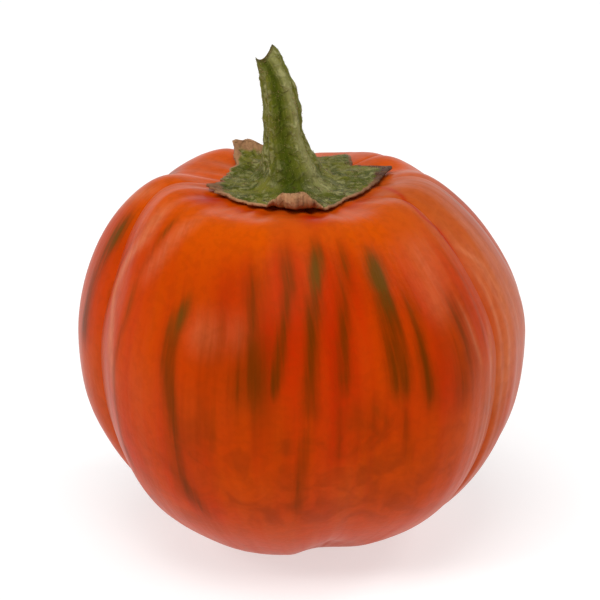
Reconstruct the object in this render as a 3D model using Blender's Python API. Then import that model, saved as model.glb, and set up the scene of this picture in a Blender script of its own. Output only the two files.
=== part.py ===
"""A scarlet eggplant: a ribbed, tomato-shaped fruit that stands on its blossom end, with its green calyx and stem.

Metres, +Z up. The origin is on the floor, in the middle of the part's outline. The front of the fruit faces -Y.
Azimuths are in degrees, 0 at +X and 90 at +Y, so the front is at 270.
"""

import math

import bmesh
import bpy
import numpy as np

MM = 0.001

# The smooth body that the ribs are raised from
BODY_RADIUS = 35.7 * MM
EQUATOR_HEIGHT = 34.8 * MM
CROWN_RISE = 31.6 * MM  # from the equator up to the crown, before its dimple
BASE_DROP = 35.25 * MM  # from the equator down, a little past the floor, so that the base is flat
CROWN_FULLNESS = 1.89  # 2 is an ellipse, more is squarer in the shoulders
BASE_FULLNESS = 2.2
FLATTENING = 7.2 * MM  # how far the crown sinks below its dome, out to the shoulders
FLAT_RADIUS = 17.1 * MM
DIMPLE_DEPTH = 2.6 * MM  # how far it sinks further, in the middle, where the calyx sits
DIMPLE_RADIUS = 9.0 * MM
SCAR_DEPTH = 0.7 * MM  # the sunken scar of the flower, in the middle of the base
SCAR_RADIUS = 3.2 * MM
BASE_RING_RADII = (6.9 * MM, SCAR_RADIUS, 2.2 * MM, 1.1 * MM)  # the first is the edge of the flat spot it stands on
CROWN_SHIFT = -1.6 * MM  # the crown grew a little to the left
CROWN_TILT = 0.05  # and tips this much, as a slope, towards the front

# Each rib groove: azimuth at the equator, its swing towards the crown, depths in mm at crown, equator and base,
# half width in degrees, how sharp its bottom is, and how flat its flank is after it and before it
GROOVES = np.array(
    (
        (202.5, -25.0, -0.3, 2.1, 2.3, 19.0, 0.85, 1.0, 0.0),
        (284.0, -2.0, 0.3, 0.2, 2.2, 22.0, 0.2, 0.0, 0.0),
        (329.0, 5.0, 0.1, 1.0, 1.0, 15.0, 0.9, 0.3, 0.0),
        (361.0, 4.0, 0.0, 1.0, 1.0, 17.0, 0.6, 0.0, 0.0),
        (405.0, 0.0, 0.1, 1.6, 1.5, 22.0, 0.7, 0.0, 0.3),
        (442.0, 4.0, 0.3, 1.4, 1.5, 20.0, 0.6, 0.3, 0.0),
        (479.0, -2.0, 0.2, 1.7, 1.5, 20.0, 0.7, 0.0, 0.4),
        (527.0, -6.0, -0.2, 1.1, 1.3, 20.0, 0.6, 0.4, 0.0),
    )
)
FLANK = 0.76  # how far a flat flank reaches, as a share of the groove's half width
FLANK_SOFTNESS = 0.09
# Each lobe, from its groove to the next: how far in mm it swells past the smooth body at shoulder, belly and heel
LOBES = np.array(
    (
        (-0.9, 1.1, 0.6),
        (-0.9, 1.6, -0.2),
        (0.0, -0.5, -0.7),
        (-1.4, -1.7, 0.0),
        (-0.6, 0.0, 0.0),
        (-0.9, 0.1, 0.1),
        (-1.2, 0.0, -0.3),
        (0.0, -0.4, -2.4),
    )
)
# Where the crown's shoulders lie lower: by how many mm, at which azimuth, and how many degrees to either side
SLUMPS = ((2.3, 84.0, 34.0), (1.5, 158.0, 12.0))
SEGMENTS_PER_LOBE = (14, 11, 7, 9, 9, 8, 9, 9)
FRUIT_RINGS = 44

# The calyx and its stem, which grew as one piece
CALYX_GAP = 0.3 * MM  # between the calyx and the skin under it
CALYX_THICKNESS = 1.1 * MM
RIM_THICKNESS = 0.5 * MM
MIDRIB_RISE = 0.35 * MM
# The calyx's outline, from tips to notches: azimuth, reach, upward curl in degrees and length of the curl
CALYX_RIM = (
    # azimuth, reach, curl, curled length
    (21.0, 16.6, 6.0, 5.0),
    (37.0, 11.6, 0.0, 3.0),
    (57.0, 15.5, 0.0, 4.0),
    (68.0, 13.9, 2.0, 3.0),
    (88.0, 11.2, 10.0, 3.0),
    (108.0, 13.0, 60.0, 4.0),
    (119.0, 15.3, 78.0, 5.0),
    (129.0, 15.6, 72.0, 5.0),
    (139.0, 11.6, 10.0, 3.0),
    (160.0, 10.9, 0.0, 3.0),
    (180.0, 10.9, 0.0, 3.0),
    (197.0, 13.0, 10.0, 3.0),
    (213.0, 11.9, 3.0, 3.0),
    (230.0, 11.4, 0.0, 3.0),
    (250.0, 11.3, 6.0, 3.0),
    (256.0, 12.6, 70.0, 3.4),
    (264.0, 14.6, 125.0, 4.2),
    (277.0, 15.7, 130.0, 4.6),
    (285.0, 14.4, 80.0, 3.6),
    (290.0, 14.6, 2.0, 3.0),
    (298.0, 12.2, 0.0, 3.0),
    (317.0, 10.8, 0.0, 3.0),
    (342.0, 12.2, 0.0, 3.0),
    (364.0, 14.2, 0.0, 3.0),
)
SEGMENTS_PER_EDGE = 4
EDGE_BULGE = 0.35 * MM  # how far the lobes' edges arch outwards

# The stem's centre line, from its foot in the calyx to its cut end: across, back, and up from the crown
STEM_LINE = (
    # x, y, height, radius
    (0.0, 0.0, 2.3, 6.4),
    (-0.2, 0.0, 3.1, 5.0),
    (-0.2, 0.0, 4.8, 4.4),
    (-0.8, 0.0, 7.2, 3.5),
    (-1.25, 0.1, 9.8, 2.95),
    (-1.4, 0.1, 13.0, 2.8),
    (-1.75, 0.1, 15.6, 2.55),
    (-2.15, 0.1, 17.9, 2.3),
    (-2.7, 0.1, 19.6, 2.05),
    (-3.45, 0.1, 21.3, 1.65),
    (-4.3, 0.1, 22.9, 1.25),
)
STEM_RINGS = 17
STEM_RIDGES = 5
RIDGE_RISE = 0.28 * MM
RIDGE_TURN = -1.92  # where round the stem the ridges start
CUT_SLANT = 0.88  # the cut end's rise, to the right, over its width
CUT_SCOOP = 1.4 * MM  # how much lower its front and back edges lie
CUT_FALL = 0.5  # the cut end's fall, to the back, over its depth
CUT_HOLLOW = 1.1 * MM
PLATE_RINGS = 7
UNDERSIDE_RINGS = 7


def smooth_step(value):
    """0 below 0, 1 above 1, and an S curve between."""
    value = np.clip(value, 0.0, 1.0)
    return value * value * (3.0 - 2.0 * value)


def turned_apart(azimuth, other):
    """Degrees from one azimuth to another, from -180 to 180."""
    return (azimuth - other + 180.0) % 360.0 - 180.0


def crown_sink(radius):
    """How far the crown lies below its dome, at a distance from its middle."""
    flattening = FLATTENING * np.exp(-((radius / FLAT_RADIUS) ** 4))
    return flattening + DIMPLE_DEPTH * np.exp(-((radius / DIMPLE_RADIUS) ** 2))


def body_profile(fall):
    """(radius, height) of the smooth body at angle fall, from 0 at the crown to pi at the base."""
    cosine, sine = np.cos(fall), np.maximum(np.sin(fall), 0.0)
    upper = cosine >= 0.0
    fullness = np.where(upper, CROWN_FULLNESS, BASE_FULLNESS)
    radius = BODY_RADIUS * sine ** (2.0 / fullness)
    height = EQUATOR_HEIGHT + np.where(upper, CROWN_RISE, -BASE_DROP) * np.abs(cosine) ** (2.0 / fullness)
    return radius, height - np.where(upper, crown_sink(radius), 0.0)


def even_falls(steps, last):
    """Fall angles from the crown to the last one that cut the profile into equal lengths."""
    fine = np.linspace(0.0, last, 2001)
    radius, height = body_profile(fine)
    along = np.concatenate([[0.0], np.cumsum(np.hypot(np.diff(radius), np.diff(height)))])
    return np.interp(np.linspace(0.0, along[-1], steps + 1), along, fine)


def ring_falls(rings):
    """Fall angles of the fruit's rings: even steps down to the flat spot, then the rings in and round the scar."""
    upwards = np.linspace(math.pi, math.pi / 2.0, 2001)
    base = np.interp(BASE_RING_RADII, body_profile(upwards)[0], upwards)
    return np.concatenate([even_falls(rings - len(base), base[0]), base[1:], [math.pi]])


def groove_azimuths(lobe, fall):
    """Azimuth in degrees of the grooves on either side of a lobe: they swing sideways towards the crown."""
    towards_crown = smooth_step((1.25 - fall) / 1.0)
    edges = []
    for index in (lobe, lobe + 1):
        groove = GROOVES[index % len(GROOVES)]
        edges.append(groove[..., 0] + 360.0 * (index // len(GROOVES)) + groove[..., 1] * towards_crown)
    return edges


def near_poles(fall):
    """Fades the ribs out in the middle of the crown and of the base."""
    return smooth_step((fall - 0.12) / 0.4) * smooth_step((math.pi - 0.18 - fall) / 0.35)


def shoulder_share(fall):
    """1 on the fruit's shoulder, and 0 in the middle of the crown and below the equator."""
    return smooth_step((fall - 0.22) / 0.35) * (1.0 - smooth_step((fall - 1.1) / 0.6))


def swelling(lobe, across, fall):
    """How far a lobe swells past the smooth body, at share across of it."""
    arch = np.sin(math.pi * np.clip(across, 0.0, 1.0)) ** 2
    belly = smooth_step((fall - 0.9) / 0.5) * (1.0 - smooth_step((fall - 2.0) / 0.5))
    heel = smooth_step((fall - 1.8) / 0.6)
    swell = LOBES[lobe]
    out = swell[..., 0] * shoulder_share(fall) + swell[..., 1] * belly + swell[..., 2] * heel
    return out * arch * near_poles(fall) * MM


def slump(azimuth, fall):
    """How much lower the crown's shoulders lie at the back."""
    low = sum(depth * np.exp(-((turned_apart(azimuth, middle) / width) ** 2)) for depth, middle, width in SLUMPS)
    return low * shoulder_share(fall) * MM


def grooving(lobe, azimuth, edges, fall):
    """How deep the skin lies in the grooves at either side of its lobe."""
    crown = smooth_step((1.2 - fall) / 1.2)
    base = smooth_step((fall - 1.9) / 1.0)
    sunk = 0.0
    for index, edge, flatness in zip((lobe, lobe + 1), edges, (7, 8)):
        groove = GROOVES[index % len(GROOVES)]
        depth = groove[..., 2] * crown + groove[..., 3] * (1.0 - crown) * (1.0 - base) + groove[..., 4] * base
        away = np.clip(np.abs(azimuth - edge) / groove[..., 5], 0.0, 1.0)
        crease, valley = (1.0 - away) ** 3, (1.0 - away**2) ** 2
        shape = groove[..., 6] * crease + (1.0 - groove[..., 6]) * valley
        rest = 1.0 - away / FLANK
        flank = (rest + np.sqrt(rest**2 + FLANK_SOFTNESS**2)) / 2.0 * smooth_step((1.0 - away) / 0.15)
        sunk = sunk + depth * (shape + (flank - shape) * groove[..., flatness])
    return sunk * near_poles(fall) * MM


def leaned(x, y, z):
    """The crown's shift to the left and its tilt to the front, which grow from the equator up."""
    share = smooth_step((z - EQUATOR_HEIGHT) / (CROWN_RISE * 0.9))
    return np.stack([x + CROWN_SHIFT * share, y, z + CROWN_TILT * y * share], axis=-1)


def skin_points(lobe, across, fall):
    """Points of the fruit's skin, at share across of a lobe and at angle fall."""
    radius, height = body_profile(fall)
    before, after = body_profile(np.maximum(fall - 0.002, 0.0)), body_profile(np.minimum(fall + 0.002, math.pi))
    run, drop = after[0] - before[0], after[1] - before[1]
    length = np.hypot(run, drop)
    edges = groove_azimuths(lobe, fall)
    azimuth = edges[0] + (edges[1] - edges[0]) * across
    out = swelling(lobe, across, fall) - slump(azimuth, fall) - grooving(lobe, azimuth, edges, fall)
    radius = radius - drop / length * out
    height = np.maximum(height + run / length * out, 0.0)
    scar = SCAR_DEPTH * (1.0 - np.clip(radius / SCAR_RADIUS, 0.0, 1.0) ** 2) ** 2
    height = height + np.where(fall > math.pi / 2.0, scar, 0.0)
    turn = np.radians(azimuth)
    return leaned(radius * np.cos(turn), radius * np.sin(turn), height)


def moved_ball(name, segments, rings, place):
    """An object made from a UV sphere, with each vertex moved to place(segment, ring). Ring 0 is the upper pole."""
    mesh = bpy.data.meshes.new(name)
    ball = bmesh.new()
    bmesh.ops.create_uvsphere(ball, u_segments=segments, v_segments=rings, radius=1.0)
    for vertex in ball.verts:
        x, y, z = vertex.co
        ring = round(math.acos(max(-1.0, min(1.0, z))) / math.pi * rings)
        segment = round(math.atan2(y, x) / math.tau * segments) % segments
        vertex.co = place(segment, ring)
    bmesh.ops.recalc_face_normals(ball, faces=ball.faces)
    ball.to_mesh(mesh)
    ball.free()
    mesh.shade_smooth()
    return bpy.data.objects.new(name, mesh)


def make_fruit():
    """The whole fruit, skin and flesh, as one solid."""
    columns = [(lobe, step / count) for lobe, count in enumerate(SEGMENTS_PER_LOBE) for step in range(count)]
    lobes = np.array([lobe for lobe, share in columns])
    # Steps are closer together near the grooves, where the skin turns fastest
    shares = np.array([share - math.sin(math.tau * share) / 9.0 for lobe, share in columns])
    points = skin_points(lobes[:, None], shares[:, None], ring_falls(FRUIT_RINGS)[None, :])

    def place(segment, ring):
        return points[0 if ring in (0, FRUIT_RINGS) else segment, ring]

    return moved_ball("fruit", len(columns), FRUIT_RINGS, place)


def crown_height(radius, azimuth):
    """Height of the crown over its grooves, at a distance from its middle and at an azimuth in degrees."""
    table = np.linspace(0.0, 1.4, 400)
    fall = np.interp(radius, body_profile(table)[0], table)
    swell = 0.0
    for lobe in range(len(GROOVES)):
        start, end = (float(edge) for edge in groove_azimuths(lobe, fall))
        turned = start + (azimuth - start) % 360.0
        if turned < end:
            swell = swelling(lobe, (turned - start) / (end - start), fall)
    return float(body_profile(fall)[1] + swell - slump(azimuth, fall))


def rim_columns():
    """For each column of the calyx: its rim point in plan, its curl in radians and the length that curls."""
    columns = []
    for index, (azimuth, reach, curl, length) in enumerate(CALYX_RIM):
        turn = 360.0 * ((index + 1) // len(CALYX_RIM))
        next_azimuth, next_reach, next_curl, next_length = CALYX_RIM[(index + 1) % len(CALYX_RIM)]
        here = np.array([math.cos(math.radians(azimuth)), math.sin(math.radians(azimuth))]) * reach * MM
        next_angle = math.radians(next_azimuth + turn)
        there = np.array([math.cos(next_angle), math.sin(next_angle)]) * next_reach * MM
        outward = np.array([(there - here)[1], -(there - here)[0]])
        outward /= np.linalg.norm(outward)
        for step in range(SEGMENTS_PER_EDGE):
            share = step / SEGMENTS_PER_EDGE
            point = here + (there - here) * share + outward * EDGE_BULGE * math.sin(math.pi * share)
            ease = float(smooth_step(share))
            bend = math.radians(curl + (next_curl - curl) * ease)
            columns.append((point, bend, (length + (next_length - length) * ease) * MM))
    return columns


def leaf_point(column, reach, height):
    """A point of a calyx lobe: reach is along the lobe from the middle, height is up from its underside."""
    point, bend, bend_length = column
    length = float(np.hypot(*point))
    azimuth = math.degrees(math.atan2(point[1], point[0]))
    flat = min(reach, length - bend_length)
    radius, level = flat, crown_height(flat, azimuth) + CALYX_GAP
    step = 0.2 * MM
    angle = math.atan((crown_height(flat + step, azimuth) - crown_height(max(flat - step, 0.0), azimuth)) / 2.0 / step)
    if flat < step:
        angle = 0.0
    past = reach - flat
    if past > 0.0:
        # Past the flat stretch the lobe follows the skin until its curl, an arc of one radius, lifts it
        follow = crown_height(flat + past * math.cos(angle), azimuth) - crown_height(flat, azimuth)
        turned = bend * past / bend_length
        arc = bend_length / bend if abs(bend) > 1e-3 else None
        along = arc * math.sin(turned) if arc else past
        lift = arc * (1.0 - math.cos(turned)) if arc else 0.0
        radius += along * math.cos(angle)
        level += lift + follow * (1.0 - float(smooth_step(turned / 1.2)))
        angle += turned
    radius -= math.sin(angle) * height
    level += math.cos(angle) * height
    return (point[0] / length * radius, point[1] / length * radius, level)


def stem_ring(share):
    """(x, y, height, radius) of the stem at a share of the way from its foot to its cut end."""
    line = np.array(STEM_LINE)
    steps = np.hypot(*np.diff(line[:, [0, 2]], axis=0).T)
    along = np.concatenate([[0.0], np.cumsum(steps)]) / steps.sum()
    return [float(np.interp(share, along, line[:, axis])) * MM for axis in range(4)]


def make_calyx_stem():
    """The calyx with its lobes and the stem, one solid that lies on the crown."""
    columns = rim_columns()
    foot_radius = STEM_LINE[0][3] * MM
    crown = crown_height(0.0, 0.0)
    cap_rings = 2
    stem_last = cap_rings + STEM_RINGS
    plate_last = stem_last + PLATE_RINGS
    rings = plate_last + 1 + UNDERSIDE_RINGS

    def stem_point(column, share, scale):
        x, y, height, radius = stem_ring(share)
        angle = math.atan2(column[0][1], column[0][0])
        ridge = RIDGE_RISE * math.cos(STEM_RIDGES * angle + RIDGE_TURN) * smooth_step((1.05 - share) / 0.3)
        radius = (radius + ridge * scale) * scale
        side, behind = radius * math.cos(angle), radius * math.sin(angle)
        lean = CUT_SLANT * side - CUT_FALL * behind - CUT_SCOOP * (scale * math.sin(angle)) ** 2
        lean = lean * float(smooth_step((share - 0.75) / 0.25))
        hollow = CUT_HOLLOW * (1.0 - scale**2)
        return (x + side, y + behind, crown + height + lean - hollow)

    def plate_thickness(share, angle):
        midribs = [math.radians(rim[0]) for rim in CALYX_RIM if rim[1] > 13.0]
        nearest = min(abs(math.remainder(angle - midrib, math.tau)) for midrib in midribs)
        rib = MIDRIB_RISE * math.exp(-((nearest / 0.16) ** 2)) * (1.0 - share)
        return CALYX_THICKNESS + (RIM_THICKNESS - CALYX_THICKNESS) * share + rib

    def place(segment, ring):
        column = columns[segment]
        reach = float(np.hypot(*column[0]))
        angle = math.atan2(column[0][1], column[0][0])
        if ring <= cap_rings:
            point = stem_point(column, 1.0, (0.0, 0.55, 0.94)[ring])
        elif ring <= stem_last:
            point = stem_point(column, 1.0 - (ring - cap_rings - 1) / (STEM_RINGS - 1), 1.0)
        elif ring <= plate_last:
            share = (ring - stem_last) / PLATE_RINGS
            start = foot_radius + 0.6 * MM
            point = leaf_point(column, start + (reach - start) * share, plate_thickness(share, angle))
        else:
            share = (ring - plate_last - 1) / UNDERSIDE_RINGS
            point = leaf_point(column, reach * (1.0 - share), 0.0)
        return leaned(*point)

    return moved_ball("calyx_stem", len(columns), rings, place)


def make_material(name, colour, roughness):
    material = bpy.data.materials.new(name)
    material.use_nodes = True
    shader = material.node_tree.nodes["Principled BSDF"]
    shader.inputs["Base Color"].default_value = (*colour, 1.0)
    shader.inputs["Roughness"].default_value = roughness
    shader.inputs["Metallic"].default_value = 0.0
    return material


def box_middle(objects):
    """The middle of the objects' box in plan."""
    corners = np.array([vertex.co[:2] for item in objects for vertex in item.data.vertices])
    return (corners.min(axis=0) + corners.max(axis=0)) / 2.0


def main():
    for item in list(bpy.data.objects):
        bpy.data.objects.remove(item)
    collection = bpy.data.collections.new("scarlet_eggplant")
    bpy.context.scene.collection.children.link(collection)

    fruit = make_fruit()
    fruit.data.materials.append(make_material("scarlet_skin", (0.58, 0.075, 0.006), 0.28))
    calyx_stem = make_calyx_stem()
    calyx_stem.data.materials.append(make_material("green_calyx", (0.12, 0.125, 0.025), 0.75))

    centre = bpy.data.objects.new("eggplant_centre", None)
    x, y = box_middle([fruit, calyx_stem])
    centre.location = (-x, -y, 0.0)
    collection.objects.link(centre)
    for item in (fruit, calyx_stem):
        collection.objects.link(item)
        item.parent = centre


main()
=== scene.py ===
"""A scarlet eggplant: its ribbed, streaked skin, and its hairy green calyx and stem, in soft studio light."""

import math

import bpy
import numpy as np
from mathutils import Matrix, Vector


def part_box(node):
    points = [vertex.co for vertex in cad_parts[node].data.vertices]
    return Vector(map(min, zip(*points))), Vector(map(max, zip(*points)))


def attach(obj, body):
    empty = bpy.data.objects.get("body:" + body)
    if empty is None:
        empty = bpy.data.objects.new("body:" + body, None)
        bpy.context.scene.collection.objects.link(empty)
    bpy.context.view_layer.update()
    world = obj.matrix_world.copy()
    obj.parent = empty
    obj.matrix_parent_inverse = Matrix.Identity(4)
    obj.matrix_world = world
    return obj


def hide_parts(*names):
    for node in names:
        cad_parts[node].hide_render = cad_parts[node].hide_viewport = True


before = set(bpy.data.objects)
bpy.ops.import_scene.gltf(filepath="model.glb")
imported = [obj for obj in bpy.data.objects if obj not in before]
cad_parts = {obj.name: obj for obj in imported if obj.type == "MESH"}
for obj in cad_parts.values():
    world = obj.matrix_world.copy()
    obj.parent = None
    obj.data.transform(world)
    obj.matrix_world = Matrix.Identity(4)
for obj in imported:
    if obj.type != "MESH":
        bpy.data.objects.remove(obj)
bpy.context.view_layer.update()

MM = 0.001
SEED = 7

# The camera: in front, a little above, with a long lens. Its aim and place are measured from the fruit's own axis
CAMERA_DISTANCE = 600.0 * MM
CAMERA_ELEVATION = 20.5
CAMERA_SIDE = -0.35 * MM
CAMERA_CENTRE = 30.3 * MM
CAMERA_AIM = 38.9 * MM
CAMERA_LENS = 227.8
CAMERA_SENSOR = 36.0

# The smooth body that the ribs are raised from, as in the solids
BODY_RADIUS = 35.7 * MM
EQUATOR_HEIGHT = 34.8 * MM
CROWN_RISE = 31.6 * MM
BASE_DROP = 35.25 * MM
CROWN_FULLNESS = 1.89
BASE_FULLNESS = 2.2
FLATTENING = 7.2 * MM
FLAT_RADIUS = 17.1 * MM
DIMPLE_DEPTH = 2.6 * MM
DIMPLE_RADIUS = 9.0 * MM
SCAR_DEPTH = 0.7 * MM
SCAR_RADIUS = 3.2 * MM
FOOT_RADIUS = 6.9 * MM  # the edge of the flat spot that it stands on
CROWN_SHIFT = -1.6 * MM
CROWN_TILT = 0.05

# Each rib groove: azimuth at the equator, its swing towards the crown, depths in mm at crown, equator and base,
# half width in degrees, how sharp its bottom is, and how flat its flank is after it and before it
GROOVES = np.array(
    (
        (202.5, -25.0, -0.3, 2.1, 2.3, 19.0, 0.85, 1.0, 0.0),
        (284.0, -2.0, 0.3, 0.2, 2.2, 22.0, 0.2, 0.0, 0.0),
        (329.0, 5.0, 0.1, 1.0, 1.0, 15.0, 0.9, 0.3, 0.0),
        (361.0, 4.0, 0.0, 1.0, 1.0, 17.0, 0.6, 0.0, 0.0),
        (405.0, 0.0, 0.1, 1.6, 1.5, 22.0, 0.7, 0.0, 0.3),
        (442.0, 4.0, 0.3, 1.4, 1.5, 20.0, 0.6, 0.3, 0.0),
        (479.0, -2.0, 0.2, 1.7, 1.5, 20.0, 0.7, 0.0, 0.4),
        (527.0, -6.0, -0.2, 1.1, 1.3, 20.0, 0.6, 0.4, 0.0),
    )
)
FLANK = 0.76  # how far a flat flank reaches, as a share of the groove's half width
FLANK_SOFTNESS = 0.09
# Each lobe, from its groove to the next: how far in mm it swells at shoulder, belly and heel
LOBES = np.array(
    (
        (-0.9, 1.1, 0.6),
        (-0.9, 1.6, -0.2),
        (0.0, -0.5, -0.7),
        (-1.4, -1.7, 0.0),
        (-0.6, 0.0, 0.0),
        (-0.9, 0.1, 0.1),
        (-1.2, 0.0, -0.3),
        (0.0, -0.4, -2.4),
    )
)
# Where the crown's shoulders lie lower: by how many mm, at which azimuth, and how many degrees to either side
SLUMPS = ((2.3, 84.0, 34.0), (1.5, 158.0, 12.0))
FINE_SEGMENTS = (98, 77, 45, 36, 38, 34, 38, 38)
FINE_RINGS = 215
FINE_BASE_RINGS = 24

# Puckers that run out from under the calyx: azimuth, depth in mm, half width in degrees, and length in mm
PUCKERS = (
    (205.0, 0.20, 5.0, 10.0),
    (222.0, 0.25, 5.5, 11.0),
    (236.0, 0.34, 4.5, 7.0),
    (252.0, 0.38, 5.0, 8.0),
    (270.0, 0.30, 5.0, 7.0),
    (284.0, 0.34, 4.0, 7.0),
    (298.0, 0.25, 5.0, 8.0),
    (314.0, 0.20, 5.5, 10.0),
)
PUCKER_START = 13.0  # mm down the skin from the middle of the crown

# Brown and green streaks: width in mm, strength, how green the upper end is, and a line of places,
# each an azimuth and how many mm down the skin from the middle of the crown
STREAKS = (
    (2.4, 0.78, 0.7, ((238, 35), (236, 41), (236, 46), (238, 54), (238, 64), (243, 72))),
    (2.2, 0.60, 0.2, ((237, 52), (238, 64), (243, 72))),
    (1.4, 0.60, 0.0, ((239, 56), (242, 60), (247, 62))),
    (1.8, 0.55, 0.1, ((249, 36), (249, 48), (249, 55), (247, 61))),
    (1.6, 0.45, 0.3, ((245, 43), (244, 52))),
    (3.8, 0.60, 0.2, ((258, 27), (258, 41), (257, 49))),
    (1.7, 0.90, 0.3, ((267, 25), (268, 32), (265, 42), (263, 50))),
    (3.0, 0.35, 0.0, ((262, 51), (261, 62))),
    (2.0, 1.00, 0.9, ((278, 25), (275, 34), (272, 47), (272, 54))),
    (1.9, 0.65, 0.2, ((272, 52), (270, 61), (268, 72))),
    (2.4, 0.66, 0.6, ((287, 25), (284, 34), (281, 41), (280, 50))),
    (3.0, 0.85, 1.0, ((297, 27), (295, 36))),
    (3.0, 1.00, 0.5, ((296, 31), (295, 37), (294, 43), (294, 51))),
    (1.9, 0.50, 0.2, ((294, 50), (297, 62))),
    (2.2, 0.85, 0.4, ((303, 33), (302, 41), (301, 44), (302, 53))),
    (5.0, 0.72, 0.2, ((317, 36), (314, 43), (312, 54))),
    (2.2, 0.70, 0.5, ((286, 50), (291, 55))),
    (1.8, 0.55, 0.2, ((293, 53), (283, 59))),
    (1.2, 0.45, 0.0, ((279, 48), (279, 62))),
    (1.6, 0.35, 0.0, ((289, 65), (296, 68))),
    (2.6, 0.85, 0.8, ((190, 28), (192, 33), (193, 37), (194, 51))),
    (1.0, 0.45, 0.9, ((218, 22), (218, 36))),
    (0.9, 0.80, 0.7, ((218, 35), (219, 41), (217, 50), (217, 62), (219, 67))),
    (0.8, 0.45, 0.0, ((208, 26), (203, 33), (202, 40), (206, 48))),
    (0.9, 0.45, 0.0, ((324, 30), (325, 35), (324, 42), (322, 47))),
    (2.4, 0.45, 1.0, ((359, 24), (356, 31), (356, 40))),
)
# The pale lines on the folds at both shoulders, which are painted reflections, and two painted highlights,
# as streaks without the greenness
PAINTED_REFLECTION_LINES = (
    (1.3, 0.75, ((208, 22), (211, 29), (207, 34), (206, 39), (212, 44), (216, 52))),
    (1.4, 0.45, ((226, 21), (223, 26), (221, 34))),
    (1.8, 0.60, ((185, 22), (176, 30), (174, 40))),
    (0.8, 0.85, ((333, 31), (337, 35), (338, 40), (336, 46), (333, 56))),
    (0.6, 0.65, ((332, 34), (333, 39), (331, 49), (330, 54))),
    (0.5, 0.60, ((318, 39), (318, 45), (319, 49))),
    (0.6, 0.55, ((327, 43), (324, 52))),
    (1.1, 0.35, ((344, 26), (346, 36), (343, 50))),
    (3.0, 0.45, ((336, 32), (337, 44), (332, 58))),
    (2.2, 0.32, ((315, 27), (313, 33), (311, 40))),
    (2.6, 0.35, ((245, 38), (245, 43))),
    (1.8, 0.30, ((254, 38), (254, 42))),
)
# Painted shade: the thin dark red line where the right shoulder steps down
STEP_SHADE_LINES = ((0.45, 0.8, ((352, 13), (340, 17), (332, 20), (329, 24), (331, 27), (330, 32))),)
STREAK_RISE = 10.0  # mm over which a streak starts
STREAK_FADE = 7.0  # mm over which it ends
STREAK_CORE = 0.55  # how far the core and the halo of a streak spread, over its width
STREAK_HALO = 1.15
STREAK_CORE_SHARE = 0.6
BACK_STREAKS = (8.0, 174.0)  # the azimuths between which streaks are drawn at random, round the back

# Where the skin is deep red, tawny, and broadly umber: azimuth, mm down the skin, half width in degrees,
# half length in mm, and amount. The first four deep red patches, just under the calyx's edge, are painted shade
SHADE_AND_DEEP_RED_PATCHES = (
    (280.0, 17.0, 7.5, 3.2, 1.0),
    (210.0, 15.0, 9.0, 3.4, 1.0),
    (240.0, 13.0, 20.0, 1.5, 0.6),
    (320.0, 13.0, 25.0, 1.5, 0.5),
    (268.0, 38.0, 4.0, 9.0, 0.6),
    (279.0, 42.0, 3.0, 12.0, 0.6),
    (262.0, 40.0, 3.0, 8.0, 0.7),
    (305.0, 47.0, 5.0, 8.0, 0.5),
    (250.0, 33.0, 6.0, 6.0, 0.55),
)
TAWNY_PATCHES = (
    (198.0, 46.0, 26.0, 26.0, 0.25),
    (238.0, 54.0, 16.0, 12.0, 0.3),
    (276.0, 66.0, 20.0, 8.0, 0.2),
    (346.0, 30.0, 22.0, 30.0, 0.95),
    (325.0, 57.0, 14.0, 12.0, 0.6),
    (20.0, 42.0, 30.0, 18.0, 0.7),
    (72.0, 56.0, 28.0, 20.0, 0.6),
    (118.0, 34.0, 26.0, 22.0, 0.5),
    (160.0, 50.0, 22.0, 22.0, 0.8),
)
UMBER_PATCHES = (
    (257.0, 43.0, 7.0, 8.0, 0.70),
    (247.0, 41.0, 5.0, 8.0, 0.55),
    (309.0, 44.0, 7.0, 9.0, 0.40),
    (286.0, 53.0, 7.0, 5.0, 0.55),
    (243.0, 55.0, 9.0, 9.0, 0.50),
    (256.0, 47.5, 5.0, 5.0, 0.90),
    (262.0, 56.0, 9.0, 8.0, 0.35),
    (193.0, 34.0, 6.0, 8.0, 0.35),
    (350.0, 30.0, 8.0, 8.0, 0.30),
    (30.0, 40.0, 10.0, 10.0, 0.40),
    (85.0, 46.0, 12.0, 9.0, 0.35),
    (140.0, 42.0, 12.0, 10.0, 0.40),
)

# The calyx and its stem
CALYX_GAP = 0.3 * MM
CALYX_THICKNESS = 1.1 * MM
RIM_THICKNESS = 0.4 * MM
MIDRIB_RISE = 0.35 * MM
EDGE_BULGE = 0.35 * MM
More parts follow.
